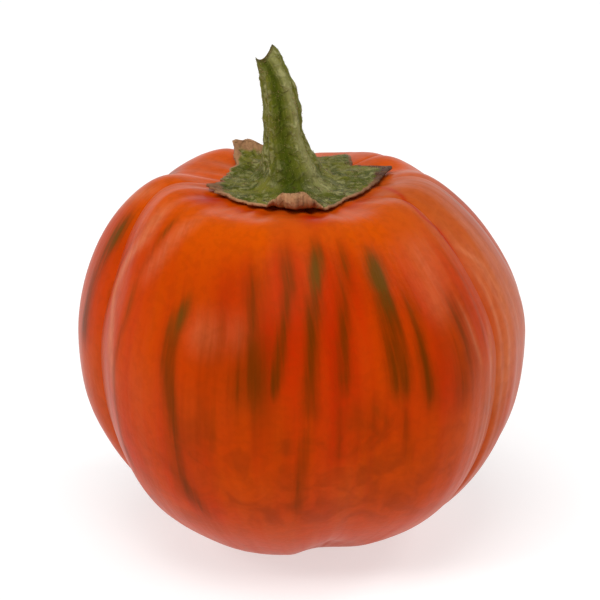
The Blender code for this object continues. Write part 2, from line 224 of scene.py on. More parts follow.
# The calyx's outline, from tips to notches, and how far in from its edge it has dried, to tan (0) or purple-brown (1)
CALYX_RIM = (
    # azimuth, reach, curl, curled length, dried length, darkness
    (21.0, 16.6, 6.0, 5.0, 4.6, 1.0),
    (37.0, 11.6, 0.0, 3.0, 0.8, 0.8),
    (57.0, 15.5, 0.0, 4.0, 0.9, 0.3),
    (68.0, 13.9, 2.0, 3.0, 0.6, 0.2),
    (88.0, 11.2, 10.0, 3.0, 0.5, 0.3),
    (108.0, 13.0, 60.0, 4.0, 2.4, 0.2),
    (119.0, 15.3, 78.0, 5.0, 5.0, 0.2),
    (129.0, 15.6, 72.0, 5.0, 4.6, 0.2),
    (139.0, 11.6, 10.0, 3.0, 0.6, 0.2),
    (160.0, 10.9, 0.0, 3.0, 0.4, 0.3),
    (180.0, 10.9, 0.0, 3.0, 0.6, 0.4),
    (197.0, 13.0, 10.0, 3.0, 3.4, 0.60),
    (213.0, 11.9, 3.0, 3.0, 0.5, 0.2),
    (230.0, 11.4, 0.0, 3.0, 0.4, 0.0),
    (250.0, 11.3, 6.0, 3.0, 0.5, 0.1),
    (256.0, 12.6, 70.0, 3.4, 2.6, 0.0),
    (264.0, 14.6, 125.0, 4.2, 4.4, 0.0),
    (277.0, 15.7, 130.0, 4.6, 4.6, 0.1),
    (285.0, 14.4, 80.0, 3.6, 3.4, 0.25),
    (290.0, 14.6, 2.0, 3.0, 0.6, 0.1),
    (298.0, 12.2, 0.0, 3.0, 0.5, 0.4),
    (317.0, 10.8, 0.0, 3.0, 0.5, 0.3),
    (342.0, 12.2, 0.0, 3.0, 0.6, 0.5),
    (364.0, 14.2, 0.0, 3.0, 2.2, 1.0),
)
FINE_SEGMENTS_PER_EDGE = 16
RAGGED = 0.16 * MM
# Dried wisps at the rim: azimuth, how far they stick out in mm, and half width in degrees
WISPS = ((194.0, 1.3, 2.2), (199.0, 0.8, 1.6), (205.0, 0.7, 1.8), (127.0, 1.0, 2.5), (119.0, 0.6, 2.0), (272.0, 0.5, 2.0))

# The stem's centre line, from its foot in the calyx to its cut end
STEM_LINE = (
    # x, y, height, radius
    (0.0, 0.0, 2.3, 6.4),
    (-0.2, 0.0, 3.1, 5.0),
    (-0.2, 0.0, 4.8, 4.4),
    (-0.8, 0.0, 7.2, 3.5),
    (-1.25, 0.1, 9.8, 2.95),
    (-1.4, 0.1, 13.0, 2.8),
    (-1.75, 0.1, 15.6, 2.55),
    (-2.15, 0.1, 17.9, 2.3),
    (-2.7, 0.1, 19.6, 2.05),
    (-3.45, 0.1, 21.3, 1.65),
    (-4.3, 0.1, 22.9, 1.25),
)
STEM_RIDGES = 5
RIDGE_RISE = 0.28 * MM
RIDGE_TURN = -1.92
DARK_BAND = (266.0, 262.0, 24.0)  # azimuth at the stem's foot, azimuth at its cut end, and half width in degrees
# Painted highlight up the stem's right side: azimuth at the foot, azimuth at the cut end, and half width
STEM_HIGHLIGHT_STRIPE = (322.0, 302.0, 17.0)
FINE_RIDGES = 13
FINE_RIDGE_RISE = 0.05 * MM
CUT_SLANT = 0.88
CUT_SCOOP = 1.4 * MM
CUT_FALL = 0.5
CUT_HOLLOW = 1.1 * MM
CUT_SCALES = (0.0, 0.2, 0.4, 0.56, 0.7, 0.8, 0.88, 0.94, 0.975)
STEM_RINGS = 60
PLATE_RINGS = 34
UNDERSIDE_RINGS = 18

# Colours, in linear light
SCARLET = (0.47, 0.025, 0.0)
ORANGE = (0.47, 0.046, 0.0)
# Painted light: a brighter orange for the crown, where the light from above falls most
LIT_CROWN_ORANGE = (0.60, 0.078, 0.0)
# Deep red skin, also used as painted shade under the calyx's edge and along the right shoulder's step
SHADE_AND_DEEP_RED = (0.40, 0.013, 0.0)
# Painted reflection: the pale colour of the lines on the folds and of the two painted highlights
PAINTED_REFLECTION_PALE = (0.58, 0.170, 0.070)
TAWNY = (0.46, 0.085, 0.012)
BROWN = (0.105, 0.022, 0.0)
OLIVE = (0.11, 0.048, 0.004)
NET_BROWN = (0.24, 0.026, 0.001)
CORK = (0.30, 0.16, 0.07)
LEAF_GREEN = (0.062, 0.070, 0.003)
LEAF_YELLOW = (0.150, 0.142, 0.020)
# Pale scurf, also used for the painted highlight up the stem's right side
LEAF_PALE = (0.300, 0.285, 0.120)
LEAF_GREY = (0.110, 0.108, 0.055)
LEAF_SPOT = (0.055, 0.032, 0.012)
# Painted shade in the calyx's creases
CREASE_SHADE = (0.020, 0.024, 0.002)
STEM_GREEN = (0.075, 0.082, 0.004)
STEM_DARK = (0.030, 0.046, 0.0)
DRIED_TAN = (0.43, 0.220, 0.110)
DRIED_DARK = (0.065, 0.020, 0.018)
UNDERSIDE_TAN = (0.42, 0.22, 0.085)
CUT_PALE = (0.24, 0.21, 0.09)
HAIR = (0.24, 0.23, 0.04)
FLOOR = (0.50, 0.50, 0.50)

WORLD_STRENGTH = 1.1
FRONT_SHARE = 0.6
CEILING_SHARE = 0.2
TABLE_GLOW = 0.58  # the floor's own light, which keeps it pale and its shadow soft


def smooth_step(value):
    """0 below 0, 1 above 1, and an S curve between."""
    value = np.clip(value, 0.0, 1.0)
    return value * value * (3.0 - 2.0 * value)


def turned_apart(azimuth, other):
    """Degrees from one azimuth to another, from -180 to 180."""
    return (azimuth - other + 180.0) % 360.0 - 180.0


def crown_sink(radius):
    """How far the crown lies below its dome, at a distance from its middle."""
    flattening = FLATTENING * np.exp(-((radius / FLAT_RADIUS) ** 4))
    return flattening + DIMPLE_DEPTH * np.exp(-((radius / DIMPLE_RADIUS) ** 2))


def body_profile(fall):
    """(radius, height) of the smooth body at angle fall, from 0 at the crown to pi at the base."""
    cosine, sine = np.cos(fall), np.maximum(np.sin(fall), 0.0)
    upper = cosine >= 0.0
    fullness = np.where(upper, CROWN_FULLNESS, BASE_FULLNESS)
    radius = BODY_RADIUS * sine ** (2.0 / fullness)
    height = EQUATOR_HEIGHT + np.where(upper, CROWN_RISE, -BASE_DROP) * np.abs(cosine) ** (2.0 / fullness)
    return radius, height - np.where(upper, crown_sink(radius), 0.0)


def down_the_skin(falls):
    """How far each fall angle is from the crown, along the profile, in metres."""
    fine = np.linspace(0.0, math.pi, 4001)
    radius, height = body_profile(fine)
    along = np.concatenate([[0.0], np.cumsum(np.hypot(np.diff(radius), np.diff(height)))])
    return np.interp(falls, fine, along), along[-1]


def fine_falls():
    """Fall angles of the fruit's rings: even steps down to the flat spot, then closer rings round the scar."""
    upwards = np.linspace(math.pi, math.pi / 2.0, 2001)
    base_radii = np.linspace(FOOT_RADIUS, 0.3 * MM, FINE_BASE_RINGS)
    base = np.interp(base_radii, body_profile(upwards)[0], upwards)
    fine = np.linspace(0.0, base[0], 4001)
    radius, height = body_profile(fine)
    along = np.concatenate([[0.0], np.cumsum(np.hypot(np.diff(radius), np.diff(height)))])
    even = np.interp(np.linspace(0.0, along[-1], FINE_RINGS - FINE_BASE_RINGS + 1), along, fine)
    return np.concatenate([even, base[1:], [math.pi]])


def groove_azimuths(lobe, fall):
    """Azimuth in degrees of the grooves on either side of a lobe: they swing sideways towards the crown."""
    towards_crown = smooth_step((1.25 - fall) / 1.0)
    edges = []
    for index in (lobe, lobe + 1):
        groove = GROOVES[index % len(GROOVES)]
        edges.append(groove[..., 0] + 360.0 * (index // len(GROOVES)) + groove[..., 1] * towards_crown)
    return edges


def near_poles(fall):
    """Fades the ribs out in the middle of the crown and of the base."""
    return smooth_step((fall - 0.12) / 0.4) * smooth_step((math.pi - 0.18 - fall) / 0.35)


def swelling(lobe, across, fall):
    """How far a lobe swells past the smooth body, at share across of it."""
    arch = np.sin(math.pi * np.clip(across, 0.0, 1.0)) ** 2
    shoulder = smooth_step((fall - 0.22) / 0.35) * (1.0 - smooth_step((fall - 1.1) / 0.6))
    belly = smooth_step((fall - 0.9) / 0.5) * (1.0 - smooth_step((fall - 2.0) / 0.5))
    heel = smooth_step((fall - 1.8) / 0.6)
    swell = LOBES[lobe]
    out = swell[..., 0] * shoulder + swell[..., 1] * belly + swell[..., 2] * heel
    return out * arch * near_poles(fall) * MM


def slump(azimuth, fall):
    """How much lower the crown's shoulders lie at the back."""
    shoulder = smooth_step((fall - 0.22) / 0.35) * (1.0 - smooth_step((fall - 1.1) / 0.6))
    low = sum(depth * np.exp(-((turned_apart(azimuth, middle) / width) ** 2)) for depth, middle, width in SLUMPS)
    return low * shoulder * MM


def grooving(lobe, azimuth, edges, fall):
    """How deep the skin lies in the grooves at either side of its lobe."""
    crown = smooth_step((1.2 - fall) / 1.2)
    base = smooth_step((fall - 1.9) / 1.0)
    sunk = 0.0
    for index, edge, flatness in zip((lobe, lobe + 1), edges, (7, 8)):
        groove = GROOVES[index % len(GROOVES)]
        depth = groove[..., 2] * crown + groove[..., 3] * (1.0 - crown) * (1.0 - base) + groove[..., 4] * base
        away = np.clip(np.abs(azimuth - edge) / groove[..., 5], 0.0, 1.0)
        crease, valley = (1.0 - away) ** 3, (1.0 - away**2) ** 2
        shape = groove[..., 6] * crease + (1.0 - groove[..., 6]) * valley
        rest = 1.0 - away / FLANK
        flank = (rest + np.sqrt(rest**2 + FLANK_SOFTNESS**2)) / 2.0 * smooth_step((1.0 - away) / 0.15)
        sunk = sunk + depth * (shape + (flank - shape) * groove[..., flatness])
    return sunk * near_poles(fall) * MM


def pucker_table():
    """The puckers round the calyx: those in front, and others drawn at random round the back."""
    draw = np.random.default_rng(SEED)
    puckers = list(PUCKERS)
    azimuth = -32.0
    while azimuth < 190.0:
        puckers.append((azimuth, draw.uniform(0.12, 0.26), draw.uniform(4.0, 6.0), draw.uniform(6.0, 11.0)))
        azimuth += draw.uniform(11.0, 17.0)
    return puckers


def puckering(azimuth, down):
    """How deep the skin lies in the puckers that run out from under the calyx."""
    sunk = np.zeros(np.broadcast(azimuth, down).shape)
    for middle, depth, width, length in pucker_table():
        across = np.exp(-((turned_apart(azimuth, middle) / width) ** 2))
        run_out = 1.0 - smooth_step((down / MM - PUCKER_START) / length)
        sunk = sunk + depth * across * run_out * smooth_step((down / MM - 6.0) / 5.0)
    return sunk * MM


def leaned(x, y, z):
    """The crown's shift to the left and its tilt to the front, which grow from the equator up."""
    share = smooth_step((z - EQUATOR_HEIGHT) / (CROWN_RISE * 0.9))
    return np.stack([x + CROWN_SHIFT * share, y, z + CROWN_TILT * y * share], axis=-1)


def skin_points(lobe, across, fall):
    """Points of the fruit's skin, and their azimuths, at share across of a lobe and at angle fall."""
    radius, height = body_profile(fall)
    before, after = body_profile(np.maximum(fall - 0.002, 0.0)), body_profile(np.minimum(fall + 0.002, math.pi))
    run, drop = after[0] - before[0], after[1] - before[1]
    length = np.hypot(run, drop)
    edges = groove_azimuths(lobe, fall)
    azimuth = edges[0] + (edges[1] - edges[0]) * across
    out = swelling(lobe, across, fall) - slump(azimuth, fall) - grooving(lobe, azimuth, edges, fall)
    out = out - puckering(azimuth, down_the_skin(fall)[0])
    radius = radius - drop / length * out
    height = np.maximum(height + run / length * out, 0.0)
    scar = SCAR_DEPTH * (1.0 - np.clip(radius / SCAR_RADIUS, 0.0, 1.0) ** 2) ** 2
    height = height + np.where(fall > math.pi / 2.0, scar, 0.0)
    turn = np.radians(azimuth)
    return leaned(radius * np.cos(turn), radius * np.sin(turn), height), azimuth


def closed_mesh(name, points, attributes):
    """An object from points[column, ring]. Rings run from the middle of the top, round the outside, to the middle below."""
    columns, rings = points.shape[0], points.shape[1] - 1

    def in_order(values):
        middle = np.swapaxes(values[:, 1:rings], 0, 1).reshape((-1, *values.shape[2:]))
        return np.concatenate([values[:1, 0], middle, values[:1, rings]])

    index = 1 + np.arange(columns * (rings - 1)).reshape(rings - 1, columns)
    east = np.roll(index, -1, axis=1)
    last = index.max() + 1
    faces = [(0, a, b) for a, b in zip(index[0].tolist(), east[0].tolist())]
    faces += np.stack([index[:-1], index[1:], east[1:], east[:-1]], axis=-1).reshape(-1, 4).tolist()
    faces += [(a, last, b) for a, b in zip(index[-1].tolist(), east[-1].tolist())]
    mesh = bpy.data.meshes.new(name)
    mesh.from_pydata(in_order(points).tolist(), [], faces)
    mesh.shade_smooth()
    for key, values in attributes.items():
        values = np.broadcast_to(values, (*points.shape[:2], *values.shape[2:]))
        vector = values.ndim == 3
        layer = mesh.attributes.new(key, "FLOAT_VECTOR" if vector else "FLOAT", "POINT")
        layer.data.foreach_set("vector" if vector else "value", in_order(values).astype(np.float32).ravel())
    item = bpy.data.objects.new(name, mesh)
    bpy.context.scene.collection.objects.link(item)
    return item


def back_streaks():
    """Streaks round the back of the fruit, drawn at random in the manner of those in front."""
    draw = np.random.default_rng(SEED + 1)
    streaks = []
    azimuth, last = BACK_STREAKS
    while azimuth < last:
        start, end = draw.uniform(20.0, 36.0), draw.uniform(44.0, 70.0)
        sway = np.cumsum(draw.uniform(-2.5, 2.5, 4))
        line = [(azimuth + sway[step], start + (end - start) * step / 3.0) for step in range(4)]
        greenness = draw.uniform(0.0, 1.0) ** 2
        streaks.append((draw.uniform(1.2, 3.2), draw.uniform(0.35, 0.95), greenness, line))
        azimuth += draw.uniform(6.0, 13.0)
    return streaks


def streak_shares(azimuth, down, radius):
    """Shares of brown, of green and of the red round the streaks, at places on the skin."""
    brown, green, red = (np.zeros(azimuth.shape) for share in range(3))
    for width, strength, greenness, line in (*STREAKS, *back_streaks()):
        line = np.array(line)
        start, end = line[0, 1], line[-1, 1]
        middle = np.interp(down / MM, line[:, 1], line[:, 0])
        away = np.radians(turned_apart(azimuth, middle)) * radius / MM
        ends = smooth_step((down / MM - start + STREAK_RISE / 2.0) / STREAK_RISE)
        ends = ends * smooth_step((end + STREAK_FADE / 2.0 - down / MM) / STREAK_FADE)
        core = np.exp(-((away / (STREAK_CORE * width)) ** 2))
        halo = np.exp(-((away / (STREAK_HALO * width)) ** 2))
        here = strength * ends * (STREAK_CORE_SHARE * core + (1.0 - STREAK_CORE_SHARE) * halo)
        brown = np.maximum(brown, here)
        upper = 1.0 - smooth_step((down / MM - start - 3.0) / 9.0)
        green = np.maximum(green, greenness * here * upper)
        red = 1.0 - (1.0 - red) * (1.0 - 0.6 * ends * np.exp(-((away / 5.0) ** 2)))
    return brown, green, red


def line_share(azimuth, down, radius, table):
    """The share of thin lines at places on the skin."""
    share = np.zeros(azimuth.shape)
    for width, strength, line in table:
        line = np.array(line)
        middle = np.interp(down / MM, line[:, 1], line[:, 0])
        away = np.radians(turned_apart(azimuth, middle)) * radius / MM
        ends = smooth_step((down / MM - line[0, 1] + STREAK_FADE / 2.0) / STREAK_FADE)
        ends = ends * smooth_step((line[-1, 1] + STREAK_FADE / 2.0 - down / MM) / STREAK_FADE)
        share = np.maximum(share, strength * ends * np.exp(-((away / width) ** 2)))
    return share


def patch_share(azimuth, down, table):
    """The share of soft-edged patches at places on the skin."""
    bare = np.ones(np.broadcast(azimuth, down).shape)
    for middle, level, width, length, amount in table:
        across = (turned_apart(azimuth, middle) / width) ** 2
        bare = bare * (1.0 - amount * np.exp(-across - ((down / MM - level) / length) ** 2))
    return 1.0 - bare


def make_fruit():
    """The whole fruit as one closed skin, with the shares of each colour as attributes."""
    columns = [(lobe, step / count) for lobe, count in enumerate(FINE_SEGMENTS) for step in range(count)]
    lobes = np.array([lobe for lobe, share in columns])[:, None]
    shares = np.array([share - math.sin(math.tau * share) / 9.0 for lobe, share in columns])[:, None]
    falls = fine_falls()[None, :]
    points, azimuth = skin_points(lobes, shares, falls)
    down, length = down_the_skin(falls)
    radius = body_profile(falls)[0]
    brown, green, red = streak_shares(azimuth, down, radius)
    along_rib = np.radians(GROOVES[lobes, 0] + shares * (np.append(GROOVES[1:, 0], 562.5)[lobes] - GROOVES[lobes, 0]))
    place = np.stack(np.broadcast_arrays(np.cos(along_rib), np.sin(along_rib), down / (50.0 * MM)), axis=-1)
    low = smooth_step((down / MM - 50.0) / 8.0) * (1.0 - smooth_step((down / MM - 70.0) / 10.0))
    high = smooth_step((down / MM - 24.0) / 12.0) * (1.0 - smooth_step((down / MM - 56.0) / 16.0))
    front = np.exp(-((turned_apart(azimuth, 272.0) / 45.0) ** 2))
    folded = np.exp(-((turned_apart(azimuth, 330.0) / 16.0) ** 2)) * smooth_step((down / MM - 24.0) / 10.0)
    shoulder = np.exp(-((turned_apart(azimuth, 215.0) / 16.0) ** 2)) * (1.0 - smooth_step((down / MM - 25.0) / 12.0))
    attributes = {
        "skin_place": place,
        "brown": brown,
        "green": green,
        "red": red,
        # Painted reflections on the folds and two painted highlights
        "painted_reflection_line": line_share(azimuth, down, radius, PAINTED_REFLECTION_LINES),
        # Painted shade under the calyx's edge and along the right shoulder's step, with patches of deeper red skin
        "shade_and_deep_red": np.maximum(
            patch_share(azimuth, down, SHADE_AND_DEEP_RED_PATCHES), line_share(azimuth, down, radius, STEP_SHADE_LINES)
        ),
        "net": low * (0.35 + 0.65 * front),
        "streaky": high * (0.4 + 0.6 * front),
        # crown: painted light, the share that makes the skin brighter and less scarlet towards the top
        "crown": (1.0 - smooth_step((down / MM - 18.0) / 16.0)) * np.ones_like(azimuth),
        "tawny": patch_share(azimuth, down, TAWNY_PATCHES),
        "umber": patch_share(azimuth, down, UMBER_PATCHES),
        "fold": np.clip(0.18 + folded + 0.8 * shoulder, 0.0, 1.0) * smooth_step((down / MM - 14.0) / 6.0),
        "scar": 1.0 - smooth_step((radius - 1.8 * MM) / (1.6 * MM)) * np.ones_like(azimuth),
        "clear": smooth_step((length - down - 9.0 * MM) / (6.0 * MM)),
    }
    attributes["scar"] = np.where(falls > math.pi / 2.0, attributes["scar"], 0.0)
    return closed_mesh("smooth_fruit", points, attributes)


def crown_height(radius, azimuth):
    """Height of the crown over its grooves, at distances from its middle and at azimuths in degrees."""
    table = np.linspace(0.0, 1.4, 400)
    fall = np.interp(radius, body_profile(table)[0], table)
    swell = np.zeros(np.broadcast(fall, azimuth).shape)
    for lobe in range(len(GROOVES)):
        start, end = groove_azimuths(lobe, fall)
        turned = start + (azimuth - start) % 360.0
        swell = np.where(turned < end, swelling(lobe, (turned - start) / (end - start), fall), swell)
    return body_profile(fall)[1] + swell - slump(azimuth, fall)


def rim_columns():
    """For each column of the calyx: its rim point in plan, and its curl, curled length, dried length and darkness."""
    points, rest = [], []
    draw = np.random.default_rng(SEED + 2)
    for index, (azimuth, reach, *kept) in enumerate(CALYX_RIM):
        turn = 360.0 * ((index + 1) // len(CALYX_RIM))
        next_azimuth, next_reach, *next_kept = CALYX_RIM[(index + 1) % len(CALYX_RIM)]
        here = np.array([math.cos(math.radians(azimuth)), math.sin(math.radians(azimuth))]) * reach * MM
        next_angle = math.radians(next_azimuth + turn)
        there = np.array([math.cos(next_angle), math.sin(next_angle)]) * next_reach * MM
        outward = np.array([(there - here)[1], -(there - here)[0]])
        outward /= np.linalg.norm(outward)
        for step in range(FINE_SEGMENTS_PER_EDGE):
            share = step / FINE_SEGMENTS_PER_EDGE
            ease = float(smooth_step(share))
            points.append(here + (there - here) * share + outward * EDGE_BULGE * math.sin(math.pi * share))
            rest.append([start + (end - start) * ease for start, end in zip(kept, next_kept)])
    points, rest = np.array(points), np.array(rest)
    length = np.hypot(points[:, 0], points[:, 1])
    azimuth = np.degrees(np.arctan2(points[:, 1], points[:, 0]))
    rough = draw.normal(size=len(points))
    ragged = rough + np.roll(rough, 1) + np.roll(rough, 2) + 0.6 * draw.normal(size=len(points))
    extra = RAGGED * ragged / 2.0
    for middle, out, width in WISPS:
        extra = extra + out * MM * np.exp(-((turned_apart(azimuth, middle) / width) ** 2))
    points = points * ((length + extra) / length)[:, None]
    curl, curled, dried, dark = rest.T
    return points, np.radians(curl)[:, None], curled[:, None] * MM, dried[:, None] * MM, dark[:, None]


def leaf_points(rim, reach, height):
    """Points of the calyx's lobes: reach is along a lobe from the middle, height is up from its underside."""
    point, bend, bend_length = rim
    length = np.hypot(point[:, 0], point[:, 1])[:, None]
    azimuth = np.degrees(np.arctan2(point[:, 1], point[:, 0]))[:, None]
    flat = np.minimum(reach, length - bend_length)
    step = 0.2 * MM
    rise = crown_height(flat + step, azimuth) - crown_height(np.maximum(flat - step, 0.0), azimuth)
    angle = np.where(flat < step, 0.0, np.arctan(rise / 2.0 / step))
    past = reach - flat
    follow = crown_height(flat + past * np.cos(angle), azimuth) - crown_height(flat, azimuth)
    turned = bend * past / bend_length
    arc = bend_length / np.maximum(bend, 0.001)
    along = np.where(bend > 0.001, arc * np.sin(turned), past)
    lift = np.where(bend > 0.001, arc * (1.0 - np.cos(turned)), 0.0)
    level = crown_height(flat, azimuth) + CALYX_GAP + lift + follow * (1.0 - smooth_step(turned / 1.2))
    angle = angle + turned
    radius = flat + along * np.cos(angle - turned) - np.sin(angle) * height
    level = level + np.cos(angle) * height
    return point[:, :1] / length * radius, point[:, 1:] / length * radius, level


def stem_points(angle, share, scale, crown):
    """Points of the stem round its bent centre line, at a share of the way from its foot to its cut end."""
    line = np.array(STEM_LINE)
    steps = np.hypot(*np.diff(line[:, [0, 2]], axis=0).T)
    along = np.concatenate([[0.0], np.cumsum(steps)]) / steps.sum()
    x, y, height, radius = (np.interp(share, along, line[:, axis]) * MM for axis in range(4))
    up_stem = smooth_step(share / 0.25)
    ridge = RIDGE_RISE * np.cos(STEM_RIDGES * angle + RIDGE_TURN) + FINE_RIDGE_RISE * np.cos(FINE_RIDGES * angle) * up_stem
    radius = (radius + ridge * smooth_step((1.05 - share) / 0.3) * scale) * scale
    side = radius * np.cos(angle)
    lean = CUT_SLANT * side - CUT_FALL * radius * np.sin(angle) - CUT_SCOOP * (scale * np.sin(angle)) ** 2
    lean = lean * smooth_step((share - 0.75) / 0.25)
    hollow = CUT_HOLLOW * (1.0 - scale**2)
    return x + side, y + radius * np.sin(angle), crown + height + lean - hollow


def plate_thickness(share, angle):
    """How thick the calyx is at a share of the way to its rim, with the midribs of its lobes."""
    rib = 0.0
    for azimuth, reach, *rest in CALYX_RIM:
        if reach <= 13.0:
            continue
        away = np.abs(np.remainder(angle - math.radians(azimuth) + math.pi, math.tau) - math.pi)
        rib = np.maximum(rib, np.exp(-((away / 0.16) ** 2)) * (1.0 - share))
    return CALYX_THICKNESS + (RIM_THICKNESS - CALYX_THICKNESS) * share + MIDRIB_RISE * rib


def stem_stripe(angle, share, stripe):
    """The share of a stripe that runs up the stem, given its azimuth at the foot and at the cut, and its half width."""
    foot, cut, width = stripe
    return np.exp(-((turned_apart(np.degrees(angle), foot + (cut - foot) * share) / width) ** 2))


def make_calyx_stem():
    """The calyx with its lobes and the stem, one closed skin that lies on the crown."""
    point, bend, curled, dried, dark = rim_columns()
    rim = (point, bend, curled)
    length = np.hypot(point[:, 0], point[:, 1])[:, None]
    angle = np.arctan2(point[:, 1], point[:, 0])[:, None]
    crown = float(crown_height(np.array([0.0]), np.array([0.0]))[0])
    start = STEM_LINE[0][3] * MM + 0.6 * MM

    scales = np.array(CUT_SCALES)[None, :]
    cut = stem_points(angle, 1.0, scales, crown)
    stem_share = np.linspace(1.0, 0.0, STEM_RINGS)[None, :]
    stem = stem_points(angle, stem_share, 1.0, crown)
    plate_share = np.linspace(0.0, 1.0, PLATE_RINGS + 1)[None, 1:] ** 0.85
    thickness = plate_thickness(plate_share, angle)
    plate_reach = start + (length - start) * plate_share
    plate = leaf_points(rim, plate_reach, thickness)
    under_share = np.linspace(1.0, 0.0, UNDERSIDE_RINGS)[None, :] ** 0.8
    underside = leaf_points(rim, length * under_share, 0.0 * angle)

    parts = [[np.broadcast_to(axis, (len(angle), axis.shape[1])) for axis in part] for part in (cut, stem, plate, underside)]
    x, y, z = (np.concatenate([part[axis] for part in parts], axis=1) for axis in range(3))
    widths = [part[0].shape[1] for part in parts]

    def spread(*values):
        """One value for each of the cut, the stem, the plate and the underside, as an array over all rings."""
        return np.concatenate(
            [np.broadcast_to(value, (len(angle), width)) for value, width in zip(values, widths)], axis=1
        )

    reach = spread(0.0, 0.0, plate_reach, length * under_share)
    from_rim = np.maximum(length - reach, 0.0)
    leaf = spread(0.0, 0.0, 1.0, 1.0)
    foot = 1.0 - smooth_step(plate_share / 0.25)
    dry = (1.0 - smooth_step(from_rim / np.maximum(dried, 0.2 * MM))) * leaf
    attributes = {
        "leaf_place": np.stack(
            [np.cos(angle) + 0.0 * reach, np.sin(angle) + 0.0 * reach, spread(2.0, stem_share * 2.0, 0.0, 0.0) - reach / (20.0 * MM)],
            axis=-1,
        ),
        "dry": dry,
        "dark": dark * np.ones_like(reach),
        "edge": (1.0 - smooth_step(from_rim / (0.45 * MM))) * leaf,
        "underside": spread(0.0, 0.0, 0.0, smooth_step((1.0 - under_share) / 0.02)),
        "top": spread(0.0, 1.0, 1.0 - smooth_step((plate_share - 0.9) / 0.1), 0.0),
        "hairy": spread(0.0, 1.0, 1.0 - smooth_step((plate_share - 0.9) / 0.1), 0.0) * (1.0 - 0.9 * dry),
        "stem": spread(1.0, smooth_step(stem_share / 0.2), 0.0, 0.0),
        "cut": spread(1.0 - smooth_step((scales - 0.88) / 0.1), 0.0, 0.0, 0.0),
        "cut_rim": spread(smooth_step((scales - 0.85) / 0.06), smooth_step((stem_share - 0.965) / 0.03), 0.0, 0.0),
        "band": spread(0.0, stem_stripe(angle, stem_share, DARK_BAND), stem_stripe(angle, 0.0, DARK_BAND) * foot, 0.0),
        # ridge: the painted highlight up the stem's right side, running onto the foot of the plate
        "ridge": spread(0.0, stem_stripe(angle, stem_share, STEM_HIGHLIGHT_STRIPE), stem_stripe(angle, 0.0, STEM_HIGHLIGHT_STRIPE) * foot, 0.0),
    }
    return closed_mesh("smooth_calyx", leaned(x, y, z), attributes)


def node(tree, kind, inputs=None, **settings):
    """A node with its settings made and its inputs set, or linked where the value is another node's output."""
    made = tree.nodes.new(kind)
    for name, value in settings.items():
        setattr(made, name, value)
    for key, value in (inputs or {}).items():
        socket = made.inputs[key]
        if isinstance(value, bpy.types.NodeSocket):
            tree.links.new(value, socket)
        else:
            socket.default_value = value
    return made


def maths(tree, operation, first, second=0.0, clamp=False):
    return node(tree, "ShaderNodeMath", {0: first, 1: second}, operation=operation, use_clamp=clamp).outputs[0]


def ramp(tree, value, low, high, start=0.0, end=1.0):
    """A smooth rise of value from low to high, between start and end."""
    made = node(
        tree,
        "ShaderNodeMapRange",
        {"Value": value, "From Min": low, "From Max": high, "To Min": start, "To Max": end},
        interpolation_type="SMOOTHSTEP",
    )
    return made.outputs["Result"]


def mixed(tree, share, first, second):
    """Two colours mixed by share. A colour is three numbers or another node's output."""
    ends = [(*colour, 1.0) if isinstance(colour, tuple) else colour for colour in (first, second)]
    return node(tree, "ShaderNodeMix", {0: share, 6: ends[0], 7: ends[1]}, data_type="RGBA").outputs[2]


def attribute(tree, name, output="Fac"):
    return node(tree, "ShaderNodeAttribute", attribute_name=name).outputs[output]


def new_group(name, kind, inputs, outputs):
    """A node group with named inputs and outputs, and its two end nodes."""
    tree = bpy.data.node_groups.new(name, kind)
    for label, socket_type, value in inputs:
        socket = tree.interface.new_socket(label, in_out="INPUT", socket_type=socket_type)
        if value is not None:
            socket.default_value = value
    for label, socket_type in outputs:
        tree.interface.new_socket(label, in_out="OUTPUT", socket_type=socket_type)
    return tree, tree.nodes.new("NodeGroupInput").outputs, tree.nodes.new("NodeGroupOutput").inputs


def fibres_group():
    """Long soft fibres that run along the piece's own place attribute, from 0 to 1."""
    tree, given, result = new_group(
        "fibres",
        "ShaderNodeTree",
        (
            ("Place", "NodeSocketVector", None),
            ("Across", "NodeSocketFloat", 20.0),
            ("Along", "NodeSocketFloat", 3.0),
            ("Detail", "NodeSocketFloat", 3.0),
        ),
        (("Value", "NodeSocketFloat"),),
    )
    stretch = node(tree, "ShaderNodeCombineXYZ", {0: given["Across"], 1: given["Across"], 2: given["Along"]})
    place = node(tree, "ShaderNodeVectorMath", {0: given["Place"], 1: stretch.outputs[0]}, operation="MULTIPLY")
    noise = node(tree, "ShaderNodeTexNoise", {"Vector": place.outputs[0], "Scale": 1.0, "Detail": given["Detail"]})
    tree.links.new(noise.outputs["Fac"], result["Value"])
    return tree


def patches_group():
    """Soft-edged patches scattered through the piece's own coordinates, from 0 between them to 1 in them."""
    tree, given, result = new_group(
        "patches",
        "ShaderNodeTree",
        (
            ("Patches per metre", "NodeSocketFloat", 200.0),
            ("Low", "NodeSocketFloat", 0.5),
            ("High", "NodeSocketFloat", 0.6),
            ("Detail", "NodeSocketFloat", 3.0),
            ("Twist", "NodeSocketFloat", 0.0),
        ),
        (("Mask", "NodeSocketFloat"),),
    )
    place = node(tree, "ShaderNodeTexCoord").outputs["Object"]
    noise = node(
        tree,
        "ShaderNodeTexNoise",
        {"Vector": place, "Scale": given["Patches per metre"], "Detail": given["Detail"], "Distortion": given["Twist"]},
    )
    mask = node(
        tree,
        "ShaderNodeMapRange",
        {"Value": noise.outputs["Fac"], "From Min": given["Low"], "From Max": given["High"]},
        interpolation_type="SMOOTHSTEP",
    )
    tree.links.new(mask.outputs["Result"], result["Mask"])
    return tree


def fibres(tree, group, place, across, along, detail=3.0):
    made = node(tree, "ShaderNodeGroup", node_tree=group)
    tree.links.new(place, made.inputs["Place"])
    for name, value in (("Across", across), ("Along", along), ("Detail", detail)):
        made.inputs[name].default_value = value
    return made.outputs["Value"]


